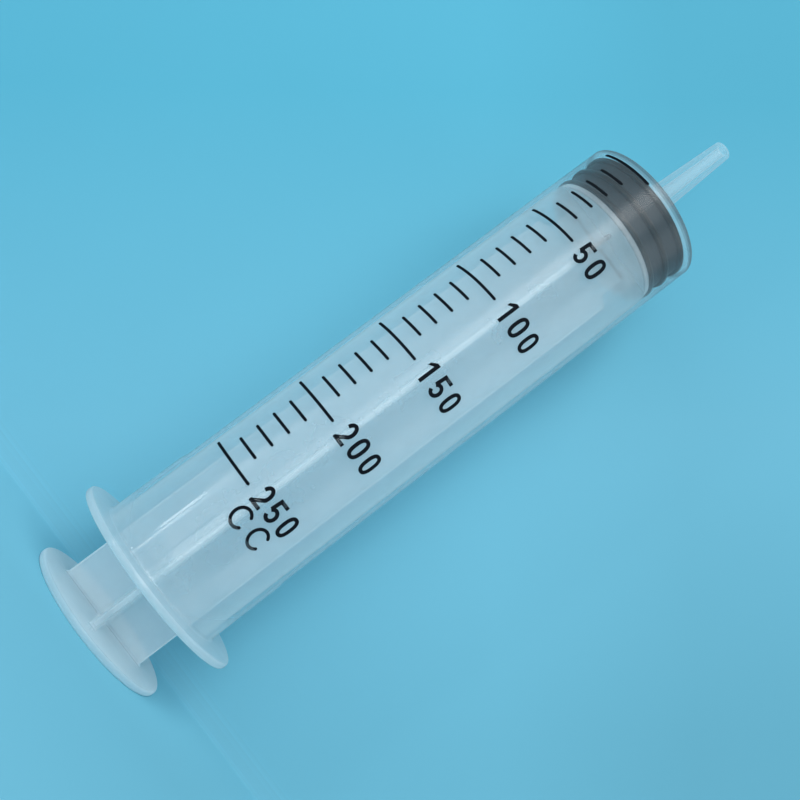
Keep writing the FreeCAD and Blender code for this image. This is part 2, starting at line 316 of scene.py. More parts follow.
SMOOTH_ANGLE = math.radians(32)


def settle(piece):
    """Makes what a piece's modifiers give its own plain mesh, with edges sharp where it turns."""
    depsgraph = bpy.context.evaluated_depsgraph_get()
    mesh = bpy.data.meshes.new_from_object(piece.evaluated_get(depsgraph))
    piece.modifiers.clear()
    piece.data = mesh
    mesh.name = piece.name
    mesh.shade_smooth()
    mesh.set_sharp_from_angle(angle=SMOOTH_ANGLE)


def new_piece(name, mesh):
    piece = bpy.data.objects.new(name, mesh)
    bpy.context.scene.collection.objects.link(piece)
    return piece


def mesh_from(name, points, edges=(), faces=()):
    mesh = bpy.data.meshes.new(name)
    mesh.from_pydata(points, edges, faces)
    mesh.update()
    return mesh


WELD = 0.002 * MM
ARC_STEP = math.radians(15)
HOLD = 0.12 * MM


def rounded(corners):
    """Points along an open outline of (across, rise, rounding) corners, with an arc at each one."""
    points = []
    for i, (across, rise, radius) in enumerate(corners):
        corner = Vector((across, rise))
        if radius == 0:
            points.append(corner)
            continue
        back = (Vector(corners[i - 1][:2]) - corner).normalized()
        ahead = (Vector(corners[i + 1][:2]) - corner).normalized()
        half = back.angle(ahead) / 2
        reach = radius / math.tan(half)
        centre = corner + (back + ahead).normalized() * radius / math.sin(half)
        spoke = corner + back * reach - centre
        turn = (math.pi - 2 * half) * (1 if back.x * ahead.y - back.y * ahead.x < 0 else -1)
        steps = max(2, math.ceil(abs(turn) / ARC_STEP))
        # A point just outside each end of the arc keeps the flat beside it flat in its shading.
        points.append(corner + back * (reach + HOLD))
        for step in range(steps + 1):
            points.append(centre + Matrix.Rotation(turn * step / steps, 2) @ spoke)
        points.append(corner + ahead * (reach + HOLD))
    return points


def turning_tree():
    """A tree that turns an outline drawn in the XZ plane into a closed body round Z."""
    tree, given = geometry_tree(
        "turned_profile", {"Segments": "Int", "Ring radius": "Float", "Material": "Material"}
    )
    ring = add_node(
        tree, "GeometryNodeCurvePrimitiveCircle",
        inputs={"Resolution": given["Segments"], "Radius": given["Ring radius"]},
    )
    outline = add_node(tree, "GeometryNodeMeshToCurve", inputs={"Mesh": given["Geometry"]})
    inward = add_node(
        tree, "ShaderNodeMath", {"operation": "MULTIPLY"}, {0: given["Ring radius"], 1: -1.0}
    )
    shift = add_node(tree, "ShaderNodeCombineXYZ", inputs={"X": inward})
    # Curve to Mesh wants the outline in XY, with Y pointing down the axis.
    laid = add_node(
        tree, "GeometryNodeTransform",
        inputs={"Geometry": outline, "Translation": shift, "Rotation": (math.pi / 2, 0, 0)},
    )
    swept = add_node(
        tree, "GeometryNodeCurveToMesh", inputs={"Curve": ring, "Profile Curve": laid}
    )
    merged = add_node(
        tree, "GeometryNodeMergeByDistance", inputs={"Geometry": swept, "Distance": WELD}
    )
    close_tree(tree, merged, given["Material"])
    return tree


TURN_SEGMENTS = 176


def turned(name, corners, lift, material):
    """A piece turned round Z from an outline whose heights are measured from lift."""
    points = [(p.x, 0, p.y + lift) for p in rounded(corners)]
    edges = [(i, i + 1) for i in range(len(points) - 1)]
    piece = new_piece(name, mesh_from(name, points, edges))
    values = {"Segments": TURN_SEGMENTS, "Ring radius": MM, "Material": material}
    run_tree(piece, turning_tree(), values)
    settle(piece)
    point_outwards(piece.data)
    return piece


def point_outwards(mesh):
    """Turns all faces of a closed mesh outwards."""
    shape = bmesh.new()
    shape.from_mesh(mesh)
    bmesh.ops.remove_doubles(shape, verts=shape.verts, dist=WELD)
    bmesh.ops.recalc_face_normals(shape, faces=shape.faces)
    shape.to_mesh(mesh)
    shape.free()


# Materials


def new_material(name):
    """An empty material with a node tree. Gives the material and its tree."""
    material = bpy.data.materials.new(name)
    material.use_nodes = True
    material.node_tree.nodes.clear()
    return material, material.node_tree


def finish_material(tree, surface):
    add_node(tree, "ShaderNodeOutputMaterial", inputs={"Surface": surface})


def along(tree, value, first, *changes):
    """A value that begins as first and changes with another over each (from, to, next) stretch."""
    for low, high, following in changes:
        first = add_node(
            tree, "ShaderNodeMapRange",
            inputs={
                "Value": value, "From Min": low, "From Max": high,
                "To Min": first, "To Max": following,
            },
        )
    return first


def radius_of(tree, place):
    """Distance from the axis."""
    flat = add_node(
        tree, "ShaderNodeVectorMath", {"operation": "MULTIPLY"}, {0: place, 1: (1.0, 1.0, 0.0)}
    )
    distance = add_node(tree, "ShaderNodeVectorMath", {"operation": "LENGTH"}, {0: flat})
    return distance.outputs["Value"]


PLASTIC_IOR = 1.49
MIRROR_HEAD_ON = ((PLASTIC_IOR - 1) / (PLASTIC_IOR + 1)) ** 2
MIRROR_GRAZING = 0.5


def milky_plastic(name, milk_colour, glow, skin_values):
    """Natural polypropylene: half clear, with a milky haze that glows in light from behind.

    skin_values(tree, place) gives the share of light that a skin scatters, its roughness, how
    dry it is and how bright the view through it stays, as nodes or plain numbers; a view below 1
    is painted shade. Where oiled rubber rests against the plastic it is 0 dry, and neither
    scatters light nor mirrors it.
    """
    material, tree = new_material(name)
    place = add_node(tree, "ShaderNodeTexCoord").outputs["Object"]
    facing = add_node(tree, "ShaderNodeLayerWeight", inputs={"Blend": 0.5}).outputs["Facing"]

    # Slow clouds of a few millimetres, as the melt froze unevenly.
    clouds = add_node(
        tree, "ShaderNodeTexNoise", inputs={"Vector": place, "Scale": 1 / (9 * MM), "Detail": 3.0}
    )
    uneven = along(tree, clouds, 0.85, (0.0, 1.0, 1.15))
    milk, roughness, dry, view = skin_values(tree, place)
    dry_milk = add_node(tree, "ShaderNodeMath", {"operation": "MULTIPLY"}, {0: milk, 1: dry})
    skin = add_node(tree, "ShaderNodeMath", {"operation": "MULTIPLY"}, {0: dry_milk, 1: uneven})
    # Slanting light crosses more plastic: its path is 1 / cosine, and at most four skins deep.
    cosine = add_node(
        tree, "ShaderNodeMath", {"operation": "SUBTRACT", "use_clamp": True}, {0: 1.0, 1: facing}
    )
    steep = add_node(tree, "ShaderNodeMath", {"operation": "MAXIMUM"}, {0: cosine, 1: 0.25})
    path = add_node(tree, "ShaderNodeMath", {"operation": "DIVIDE"}, {0: 1.0, 1: steep})
    passed = add_node(tree, "ShaderNodeMath", {"operation": "SUBTRACT"}, {0: 1.0, 1: skin})
    clear = add_node(tree, "ShaderNodeMath", {"operation": "POWER"}, {0: passed, 1: path})
    # The view through the skin, darkened where skin_values gives it painted shade.
    painted_view_shade = add_node(tree, "ShaderNodeCombineXYZ", inputs={0: view, 1: view, 2: view})
    see_through = add_node(tree, "ShaderNodeBsdfTransparent", inputs={"Color": painted_view_shade})
    lit = add_node(tree, "ShaderNodeBsdfDiffuse", inputs={"Color": (*milk_colour, 1)})
    glowing = add_node(tree, "ShaderNodeBsdfTranslucent", inputs={"Color": (*milk_colour, 1)})
    haze = add_node(tree, "ShaderNodeMixShader", inputs={0: glow, 1: lit, 2: glowing})
    body = add_node(tree, "ShaderNodeMixShader", inputs={0: clear, 1: haze, 2: see_through})

    # A moulded skin is never quite flat, which wanders the edges of a reflection.
    ripple = add_node(
        tree, "ShaderNodeTexNoise", inputs={"Vector": place, "Scale": 1 / (5 * MM), "Detail": 2.0}
    )
    bump = add_node(
        tree, "ShaderNodeBump", inputs={"Strength": 0.04, "Distance": 0.1 * MM, "Height": ripple}
    )
    gloss = add_node(
        tree, "ShaderNodeBsdfAnisotropic", {"distribution": "GGX"},
        {"Roughness": roughness, "Normal": bump},
    )
    # Schlick's mirror share, which is the same from inside and outside. At the outline the fine
    # roughness of a moulded skin takes half of it.
    fall = add_node(tree, "ShaderNodeMath", {"operation": "POWER"}, {0: facing, 1: 5.0})
    mirror = add_node(
        tree, "ShaderNodeMath", {"operation": "MULTIPLY_ADD"},
        {0: fall, 1: MIRROR_GRAZING - MIRROR_HEAD_ON, 2: MIRROR_HEAD_ON},
    )
    dry_mirror = add_node(tree, "ShaderNodeMath", {"operation": "MULTIPLY"}, {0: mirror, 1: dry})
    shown = add_node(tree, "ShaderNodeMixShader", inputs={0: dry_mirror, 1: body, 2: gloss})
    finish_material(tree, shown)
    return material


def mottled(tree, place, grain, detail, colour, darkest, lightest):
    """Specks of a grain's size, and a colour that goes from a darkest to a lightest share by them."""
    specks = add_node(
        tree, "ShaderNodeTexNoise", inputs={"Vector": place, "Scale": 1 / grain, "Detail": detail}
    )
    dark, light = ((*[share * part for part in colour], 1) for share in (darkest, lightest))
    shade = add_node(tree, "ShaderNodeMix", {"data_type": "RGBA"}, {0: specks, 6: dark, 7: light})
    return specks, shade.outputs[2]


def moulded_rubber(finish, land_radius):
    """Compression-moulded butyl rubber: dull and dark, glossier and blacker on the oiled lips. Their black
    is partly the oil's own darkening and partly painted shade where they touch the bore and no air gap
    reflects light.
    """
    material, tree = new_material("moulded_butyl_rubber")
    place = add_node(tree, "ShaderNodeTexCoord").outputs["Object"]
    lips = (land_radius - 0.35 * MM, land_radius - 0.1 * MM)
    oiled = along(tree, radius_of(tree, place), 0.0, (*lips, 1.0))
    # Fine mottling, like that of a spark-eroded mould, drawn at 0.8 mm so that it shows.
    grain, dusty = mottled(tree, place, 0.8 * MM, 4.0, finish.rubber, 0.75, 1.25)
    # The lips' black is partly the oil's own darkening and partly painted shade for their contact with the
    # bore.
    shade = add_node(
        tree, "ShaderNodeMix", {"data_type": "RGBA"}, {0: oiled, 6: dusty, 7: (*finish.rubber_wet_contact_shade, 1)}
    )
    bump = add_node(
        tree, "ShaderNodeBump", inputs={"Strength": 0.2, "Distance": 0.05 * MM, "Height": grain}
    )
    rubber = add_node(
        tree, "ShaderNodeBsdfPrincipled",
        inputs={
            "Base Color": shade.outputs[2], "Roughness": along(tree, oiled, 0.6, (0.0, 1.0, 0.35)),
            "IOR": 1.52, "Specular IOR Level": 0.3, "Normal": bump,
        },
    )
    finish_material(tree, rubber)
    return material


def printed_ink(finish):
    """Screen-printed ink: near black and dull, with slightly thin spots of 0.6 mm."""
    material, tree = new_material("screen_printed_ink")
    place = add_node(tree, "ShaderNodeTexCoord").outputs["Object"]
    _, shade = mottled(tree, place, 0.6 * MM, 3.0, finish.ink, 1.0, 1.8)
    ink = add_node(
        tree, "ShaderNodeBsdfPrincipled",
        inputs={"Base Color": shade, "Roughness": 0.8, "IOR": 1.5, "Specular IOR Level": 0.08},
    )
    finish_material(tree, ink)
    return material


LEAN = math.sqrt(0.5)


def painted_board(finish):
    """Smooth board for floor and backdrop, which is clear from its back. Its colour holds painted light
    and shade.
    """
    material, tree = new_material("painted_board")
    geometry = add_node(tree, "ShaderNodeNewGeometry")
    normal = geometry.outputs["True Normal"]
    place = add_node(tree, "ShaderNodeTexCoord").outputs["Object"]
    clouds = add_node(
        tree, "ShaderNodeTexNoise", inputs={"Vector": place, "Scale": 1 / (120 * MM), "Detail": 2.0}
    )
    # Painted light and shade: the colour changes along one slant of the board in two steps, from the
    # darker upper left through the middle to the slightly darker lower right, and along the other in one.
    slants = []
    for direction in ((0.805, 0.0, -0.593), (0.593, 0.0, 0.805)):
        slants.append(add_node(
            tree, "ShaderNodeVectorMath", {"operation": "DOT_PRODUCT"}, {0: place, 1: direction}
        ).outputs["Value"])
    paint = (*finish.ground_far_painted_shade, 1)
    painted_falloffs = ((-180 * MM, -60 * MM, finish.ground), (-40 * MM, 50 * MM, finish.ground_near_painted_shade))
    for start, end, colour in painted_falloffs:
        paint = add_node(
            tree, "ShaderNodeMix", {"data_type": "RGBA"},
            {0: along(tree, slants[0], 0.0, (start, end, 1.0)), 6: paint, 7: (*colour, 1)},
        ).outputs[2]
    # Painted shade: darker towards the backdrop's upper right, where the fill lamp lights it more.
    backdrop_painted_shade = along(tree, slants[1], 1.0, (130 * MM, 200 * MM, finish.right_painted_shade))
    # One normal for floor, cove and backdrop lights the three alike, so that no seam shows. The cove sees
    # a little more sky than they do, which painted shade takes back, and the floor by it a little less,
    # which painted light gives back.
    leaning = add_node(tree, "ShaderNodeCombineXYZ", inputs={"Y": -LEAN, "Z": LEAN})
    painted_cove_mask = add_node(
        tree, "ShaderNodeVectorMath", {"operation": "DOT_PRODUCT"}, {0: normal, 1: leaning}
    ).outputs["Value"]
    depth = add_node(tree, "ShaderNodeSeparateXYZ", inputs={"Vector": place}).outputs["Y"]
    # Painted shade on the floor, turning to painted light by the cove.
    floor_painted_shade = along(
        tree, depth, finish.floor_painted_shade, (-40 * MM, 28 * MM, finish.floor_back_painted_light)
    )
    flatness = add_node(tree, "ShaderNodeSeparateXYZ", inputs={"Vector": normal}).outputs["Z"]
    # Random speckle, then the cove's painted shade, then the painted shade of backdrop and floor, with
    # painted light on the floor by the cove.
    tones = (
        (1.0, along(tree, clouds, 0.97, (0.0, 1.0, 1.03))),
        (along(tree, painted_cove_mask, 0.0, (LEAN, 1.0, 1.0)), (*finish.cove_painted_shade, 1)),
        (1.0, along(tree, flatness, backdrop_painted_shade, (0.0, 1.0, floor_painted_shade))),
    )
    for strength, tone in tones:
        paint = add_node(
            tree, "ShaderNodeMix", {"data_type": "RGBA", "blend_type": "MULTIPLY"},
            {0: strength, 6: paint, 7: tone},
        ).outputs[2]
    matt = add_node(tree, "ShaderNodeBsdfDiffuse", inputs={"Color": paint, "Normal": leaning})
    through = add_node(tree, "ShaderNodeBsdfTransparent")
    shown = add_node(
        tree, "ShaderNodeMixShader",
        inputs={0: geometry.outputs["Backfacing"], 1: matt, 2: through},
    )
    finish_material(tree, shown)
    return material


# Stage


def look_from(place, target, roll):
    """Turn of a camera or lamp at a place that faces a target, rolled round its line of sight."""
    facing = (target - place).to_track_quat("-Z", "Y")
    return (facing @ Quaternion((0, 0, 1), roll)).to_euler()


class SYRINGE_OT_stage(bpy.types.Operator):
    """Adds the floor, the backdrop, the lamps, the sky and the camera."""

    bl_idname = "syringe.stage"
    bl_label = "Stage"

    def execute(self, context):
        stage, finish = context.scene.syringe.stage, context.scene.syringe.finish
        self.add_ground(stage, painted_board(finish))
        self.add_lamps(stage)
        self.add_sky(context, stage, finish)
        self.add_camera(context, stage)
        context.scene.view_settings.view_transform = "Standard"
        # A line of sight crosses up to this many skins of clear plastic.
        context.scene.cycles.transparent_max_bounces = 32
        return {"FINISHED"}

    def add_ground(self, stage, material):
        """Floor and backdrop in one sheet, joined by a cove."""
        outline = rounded([
            (-stage.half_width, 0, 0),
            (stage.wall_gap, 0, stage.cove),
            (stage.wall_gap, stage.wall_height, 0),
        ])
        points = []
        for side in (-stage.half_width, stage.half_width):
            points += [(side, p.x, p.y) for p in outline]
        count = len(outline)
        faces = [(i, i + count, i + count + 1, i + 1) for i in range(count - 1)]
        ground = new_piece("ground", mesh_from("ground", points, faces=faces))
        ground.data.materials.append(material)
        ground.data.shade_smooth()

    def add_lamps(self, stage):
        """Lamps in front, at both sides and overhead, all turned to the syringe's middle."""
        middle = Vector((0, 0, 120 * MM))
        # name, turn from the camera's side, height angle, distance, width, height, brightness
        lamps = [
            ("key", -36, -2, 0.62, 0.36, 0.44, stage.key_strength),
            ("window", -9, 16, 0.66, 0.20, 1.00, stage.window_strength),
            ("strip", -53, -6, 0.62, 0.03, 0.34, stage.strip_strength),
            ("overhead", 0, 50, 0.80, 0.60, 0.50, stage.overhead_strength),
            ("fill", 66, 14, 1.24, 0.90, 0.90, stage.fill_strength),
        ]
        for name, side, rise, away, width, height, brightness in lamps:
            turn, tilt = math.radians(side), math.radians(rise)
            out = Vector((
                math.sin(turn) * math.cos(tilt), -math.cos(turn) * math.cos(tilt), math.sin(tilt),
            ))
            lamp = bpy.data.lights.new(name, "AREA")
            lamp.shape = "RECTANGLE"
            lamp.size, lamp.size_y = width, height
            # An area lamp's power in watts is pi times its area times its radiance.
            lamp.energy = brightness * math.pi * width * height
            holder = bpy.data.objects.new(name, lamp)
            holder.location = middle + out * away
            holder.rotation_euler = look_from(holder.location, middle, 0)
            bpy.context.scene.collection.objects.link(holder)

    def add_sky(self, context, stage, finish):
        """Soft pale light from all round, with the ground's colour wherever the sky itself shows."""
        world = bpy.data.worlds.new("studio")
        world.use_nodes = True
        tree = world.node_tree
        tree.nodes.clear()
        rays = add_node(tree, "ShaderNodeLightPath")
        seen = add_node(
            tree, "ShaderNodeMath", {"operation": "MAXIMUM"},
            {0: rays.outputs["Is Camera Ray"], 1: rays.outputs["Is Transmission Ray"]},
        )
        pale_blue = (0.45, 0.80, 1.0, 1)
        soft = add_node(
            tree, "ShaderNodeBackground", inputs={"Color": pale_blue, "Strength": stage.sky_strength}
        )
        ground = add_node(
            tree, "ShaderNodeBackground", inputs={"Color": (*finish.ground, 1), "Strength": 1.0}
        )
        shown = add_node(tree, "ShaderNodeMixShader", inputs={0: seen, 1: soft, 2: ground})
        add_node(tree, "ShaderNodeOutputWorld", inputs={"Surface": shown})
        context.scene.world = world

    def add_camera(self, context, stage):
        camera = bpy.data.objects.new("camera", bpy.data.cameras.new("camera"))
        camera.data.sensor_width = 36
        camera.data.lens = stage.lens
        camera.data.clip_start = 0.01
        camera.location = (0, -stage.camera_back, stage.camera_height)
        target = Vector((stage.aim_side, 0, stage.aim_height))
        camera.rotation_euler = look_from(camera.location, target, stage.camera_roll)
        context.scene.collection.objects.link(camera)
        context.scene.camera = camera


# Barrel


class SYRINGE_OT_barrel(bpy.types.Operator):
    """Turns the barrel with its flange, collar, front and nozzle in natural polypropylene."""

    bl_idname = "syringe.barrel"
    bl_label = "Barrel"

    def execute(self, context):
        sizes, finish = context.scene.syringe.barrel, context.scene.syringe.finish
        mouth = BARREL_LOW.z
        flange_radius = BARREL_HIGH.x
        bore_radius = BARREL_RADIUS - sizes.wall
        collar_radius = BARREL_RADIUS + sizes.collar_step
        # Heights above the mouth, as in the outline below.
        collar_end = sizes.flange_thickness + sizes.collar_length
        tip = BARREL_HIGH.z - mouth
        shoulder = tip - sizes.nozzle_length
        bore_stop = shoulder - sizes.front_wall

        def skin_values(tree, place):
            """Whiter inside than outside, and whitest at the flange's rim, seen through its width.

            The collar is polished, the tube less so and the nozzle is dull. The view through the thick
            corner at the front is darkened by painted shade, for the darker parts of the room that the
            corner would bend into view.
            """
            radius = radius_of(tree, place)
            height = add_node(tree, "ShaderNodeSeparateXYZ", inputs={"Vector": place}).outputs["Z"]
            in_wall = (bore_radius + 0.2 * MM, bore_radius + 0.6 * MM)
            flange_front = mouth + sizes.flange_thickness
            polish_end = mouth + collar_end
            front = mouth + shoulder
            outside = along(
                tree, height, finish.flange_milk,
                (flange_front, flange_front + 10 * MM, finish.barrel_milk),
            )
            tube = along(tree, radius, finish.bore_milk, (*in_wall, outside))
            inner = along(
                tree, height, tube,
                (front - 1.5 * MM, front - 0.5 * MM, finish.front_milk),
                (front + 1.5 * MM, front + 4 * MM, finish.nozzle_milk),
            )
            milk = along(
                tree, radius, inner,
                (flange_radius - 0.6 * MM, flange_radius - 0.2 * MM, finish.flange_rim_milk),
            )
            roughness = along(
                tree, height, finish.collar_gloss,
                (polish_end, polish_end + sizes.collar_taper, finish.barrel_gloss),
                (front, front + 3 * MM, finish.nozzle_gloss),
            )
            dry_bore = along(
                tree, height, 1.0,
                (STOPPER_LOW.z - 8 * MM, STOPPER_LOW.z, 0.0), (front - 0.3 * MM, front, 1.0),
            )
            dry = along(tree, radius, dry_bore, (*in_wall, 1.0))
            # Painted shade: the view through the front corner is darkened, and more at its outline, for
            # the darker room that its refraction would show.
            corner = along(
                tree, height, 1.0,
                (front - 2.2 * MM, front - 2.0 * MM, finish.painted_corner_shade),
                (front - 1.5 * MM, front - 1.1 * MM, finish.painted_edge_shade),
                (front, front + 0.2 * MM, 1.0),
            )
            return milk, roughness, dry, along(tree, radius, 1.0, (*in_wall, corner))

        material = milky_plastic(
            "natural_polypropylene_barrel", finish.milk, finish.barrel_glow, skin_values
        )
        corners = [
            (bore_radius + sizes.lead_in, 0, 0),
            (flange_radius, 0, sizes.flange_edge),
            (flange_radius, sizes.flange_thickness, sizes.flange_edge),
            (collar_radius, sizes.flange_thickness, sizes.flange_root),
            (collar_radius, collar_end, 0),
            (BARREL_RADIUS, collar_end + sizes.collar_taper, 0),
            (BARREL_RADIUS, shoulder, sizes.shoulder_edge),
            (sizes.nozzle_root, shoulder + sizes.front_rise, sizes.nozzle_fillet),
            (sizes.nozzle_tip, tip, sizes.nozzle_edge),
            (NOZZLE_BORE_RADIUS, tip, 0),
            (NOZZLE_BORE_RADIUS, tip - sizes.channel_land, 0),
            (sizes.channel_root, bore_stop + sizes.front_rise, 0),
            (bore_radius, bore_stop, 0),
            (bore_radius, 2 * sizes.lead_in, 0),
            (bore_radius + sizes.lead_in, 0, 0),
        ]
        piece = turned("barrel_moulding", corners, mouth, material)
        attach(piece, "barrel")
        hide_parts("barrel")
        return {"FINISHED"}


# Plunger rod


ROOT_STEPS = 4
FOOT_STEPS = 4


def rib_quarter(half_span, sizes, grow):
    """Outline points of one rib and the rounded corners beside it, from +45 to -45 degrees.

    grow widens the section, as where the ribs meet the thumb plate.
    """
    edge, root = sizes.rib_edge / 2 + grow, sizes.rib_root / 2 + grow
    reach, fillet = half_span + grow, sizes.root_radius
    lean = (root - edge) / reach
    # The rib's side y = root - lean * x meets its neighbour's on the diagonal.
    corner = root / (1 + lean)
    slope = Vector((1, -lean)).normalized()
    half = math.pi / 4 + math.atan(lean)
    start = Vector((corner, corner)) + slope * fillet / math.tan(half)
    centre = start + fillet * Vector((-slope.y, slope.x))
    # The fillet runs from the diagonal to where it meets the rib's side.
    diagonal, side = 1.25 * math.pi, 1.5 * math.pi - math.atan(lean)
    points = []
    for step in range(ROOT_STEPS + 1):
        turn = diagonal + (side - diagonal) * step / ROOT_STEPS
        points.append(centre + fillet * Vector((math.cos(turn), math.sin(turn))))
    rim = min(sizes.rib_corner, 0.9 * edge)
    points += rounded([(start.x, start.y, 0), (reach, edge, rim), (reach, 0, 0)])[1:]
    return points + [Vector((p.x, -p.y)) for p in reversed(points[:-1])]


class SYRINGE_OT_plunger_rod(bpy.types.Operator):
    """Builds the plunger rod: thumb plate, four ribs with a neck, and the head in the stopper."""

    bl_idname = "syringe.plunger_rod"
    bl_label = "Plunger rod"

    def execute(self, context):
        sizes, finish = context.scene.syringe.rod, context.scene.syringe.finish
        head_rear = STOPPER_LOW.z - sizes.head_thickness

        def skin_values(tree, place):
            """Whiter where the plastic is seen through its width.

            That is at the rim of the thumb plate and, above it, at the free edges of the ribs and
            the rim of the head.
            """
            height = add_node(tree, "ShaderNodeSeparateXYZ", inputs={"Vector": place}).outputs["Z"]
            plate = sizes.plate_thickness
            foot = (plate, plate + MM)
            neck = (head_rear - MM, head_rear)
            edge = along(
                tree, height, ROD_HIGH.x, (*foot, sizes.rib_span / 2), (*neck, sizes.head_radius)
            )
            rim = along(
                tree, height, finish.disc_rim_milk,
                (*foot, finish.rib_rim_milk), (*neck, finish.disc_rim_milk),
            )
            oiled = along(
                tree, height, finish.rod_milk,
                (BARREL_LOW.z, BARREL_LOW.z + 15 * MM, finish.oiled_rod_milk),
            )
            inner = along(
                tree, height, finish.plate_milk,
                (plate + 0.05 * MM, plate + 0.3 * MM, finish.foot_milk),
                (plate + 0.3 * MM, plate + 6 * MM, oiled),
                (*neck, finish.rod_milk),
            )
            reach = add_node(
                tree, "ShaderNodeMath", {"operation": "SUBTRACT"}, {0: radius_of(tree, place), 1: edge}
            )
            milk = along(tree, reach, inner, (-0.6 * MM, -0.2 * MM, rim))
            return milk, finish.rod_gloss, 1.0, 1.0

        material = milky_plastic(
            "natural_polypropylene_rod", finish.milk, finish.rod_glow, skin_values
        )
        plate = turned("rod_plate", [
            (0, 0, 0),
            (ROD_HIGH.x, 0, sizes.plate_edge),
            (ROD_HIGH.x, sizes.plate_thickness, sizes.plate_edge),
            (0, sizes.plate_thickness, 0),
        ], 0, material)
        stem_end = sizes.head_thickness + sizes.stem_height
        button_end = ROD_HIGH.z - head_rear
        head = turned("rod_head", [
            (0, 0, 0),
            (sizes.head_radius, 0, sizes.head_edge),
            (sizes.head_radius, sizes.head_thickness, 0),
            (sizes.stem_radius, sizes.head_thickness, 0),
            (sizes.stem_radius, stem_end, 0),
            (sizes.button_radius, stem_end, 0),
            (sizes.button_radius, button_end - sizes.button_lead, 0),
            (sizes.button_radius - sizes.button_lead, button_end, 0),
            (0, button_end, 0),
        ], head_rear, material)
        rod = self.add_ribs(sizes, head_rear, material)
        for other in (plate, head):
            join = rod.modifiers.new("join", "BOOLEAN")
            join.operation = "UNION"
            join.solver = "EXACT"
            join.object = other
        settle(rod)
        for other in (plate, head):
            bpy.data.objects.remove(other)
        point_outwards(rod.data)
        rod.data.set_sharp_from_angle(angle=SMOOTH_ANGLE)
        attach(rod, "plunger")
        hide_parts("plunger_rod")
        return {"FINISHED"}

    def add_ribs(self, sizes, head_rear, material):
        """One rib as rings of its section up the axis, repeated round it by a tree."""
        sink = 0.4 * MM
        bottom, top = sizes.plate_thickness, head_rear
        neck = top - sizes.neck_length
        # height, half the span and how far the section grows
        rings = [(bottom - sink, sizes.rib_span / 2, sizes.foot_radius)]
        for step in range(FOOT_STEPS + 1):
            turn = math.pi / 2 * step / FOOT_STEPS
            rings.append((
                bottom + sizes.foot_radius * (1 - math.cos(turn)), sizes.rib_span / 2,
                sizes.foot_radius * (1 - math.sin(turn)),
            ))
        rings += [
            (neck - sizes.neck_slope, sizes.rib_span / 2, 0),
            (neck, sizes.neck_span / 2, 0),
            (top + sink, sizes.neck_span / 2, 0),
        ]
        points, faces = [], []
        for height, half_span, grow in rings:
            section = rib_quarter(half_span, sizes, grow)
            count = len(section)
            points += [(p.x, p.y, height) for p in section]
        for ring in range(len(rings) - 1):
            base = ring * count
            for i in range(count - 1):
                faces.append((base + i + 1, base + i, base + count + i, base + count + i + 1))
        for ring in (0, len(rings) - 1):
            base, middle = ring * count, len(points)
            points.append((0, 0, rings[ring][0]))
            faces += [(middle, base + i, base + i + 1) for i in range(count - 1)]
        rib = new_piece("plunger_rod_moulding", mesh_from("rib", points, faces=faces))
        run_tree(rib, self.round_tree(), {"Count": sizes.rib_count, "Material": material})
        settle(rib)
        point_outwards(rib.data)
        return rib

    def round_tree(self):
        """A tree that repeats its geometry round Z and merges the copies where they meet."""
        tree, given = geometry_tree("ribs_round_axis", {"Count": "Int", "Material": "Material"})
        spots = add_node(
            tree, "GeometryNodeMeshLine", inputs={"Count": given["Count"], "Offset": (0, 0, 0)}
        )
        index = add_node(tree, "GeometryNodeInputIndex")
        step = add_node(
            tree, "ShaderNodeMath", {"operation": "DIVIDE"}, {0: 2 * math.pi, 1: given["Count"]}
        )
        turn = add_node(tree, "ShaderNodeMath", {"operation": "MULTIPLY"}, {0: index, 1: step})
        spin = add_node(tree, "ShaderNodeCombineXYZ", inputs={"Z": turn})
        copies = add_node(
            tree, "GeometryNodeInstanceOnPoints",
            inputs={"Points": spots, "Instance": given["Geometry"], "Rotation": spin},
        )
        real = add_node(tree, "GeometryNodeRealizeInstances", inputs={"Geometry": copies})
        merged = add_node(
            tree, "GeometryNodeMergeByDistance", inputs={"Geometry": real, "Distance": WELD}
        )
        close_tree(tree, merged, given["Material"])
        return tree


# Stopper


class SYRINGE_OT_stopper(bpy.types.Operator):
    """Turns the rubber stopper with its sealing lips, nose cone and socket."""

    bl_idname = "syringe.stopper"
    bl_label = "Stopper"

    def execute(self, context):
        settings = context.scene.syringe
        sizes, rod = settings.stopper, settings.rod
        lip_radius = STOPPER_HIGH.x
        groove_radius, groove_edge = lip_radius - sizes.groove_depth, 0.25 * MM
        spacing = (sizes.body_length - sizes.lip_width) / (sizes.lip_count - 1)
        gap = sizes.socket_gap
        button_height = ROD_HIGH.z - STOPPER_LOW.z - rod.stem_height
        socket_end = rod.stem_height + button_height + gap
        corners = [
            (0, socket_end, 0),
            (rod.button_radius - rod.button_lead + gap, socket_end, 0),
            (rod.button_radius + gap, socket_end - rod.button_lead, 0),
            (rod.button_radius + gap, rod.stem_height - gap, 0),
            (rod.stem_radius + gap, rod.stem_height - gap, 0),
            (rod.stem_radius + gap, 0, 0),
        ]
        for lip in range(sizes.lip_count):
            rear = lip * spacing
            front = rear + sizes.lip_width
            corners.append((lip_radius, rear, sizes.lip_edge))
            corners.append((lip_radius, front, sizes.lip_edge))
            if lip < sizes.lip_count - 1:
                corners.append((groove_radius, front, groove_edge))
                corners.append((groove_radius, rear + spacing, groove_edge))
        corners.append((0, STOPPER_HIGH.z - STOPPER_LOW.z, 0))
        material = moulded_rubber(settings.finish, lip_radius)
        piece = turned("rubber_stopper", corners, STOPPER_LOW.z, material)
        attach(piece, "plunger")
        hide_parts("stopper")
        return {"FINISHED"}


# Printed scale


MITRE_LIMIT = 0.35
CAP_STEPS = 5
# The last pair of a cap stays this far from closing to one point.
CAP_END = 0.96


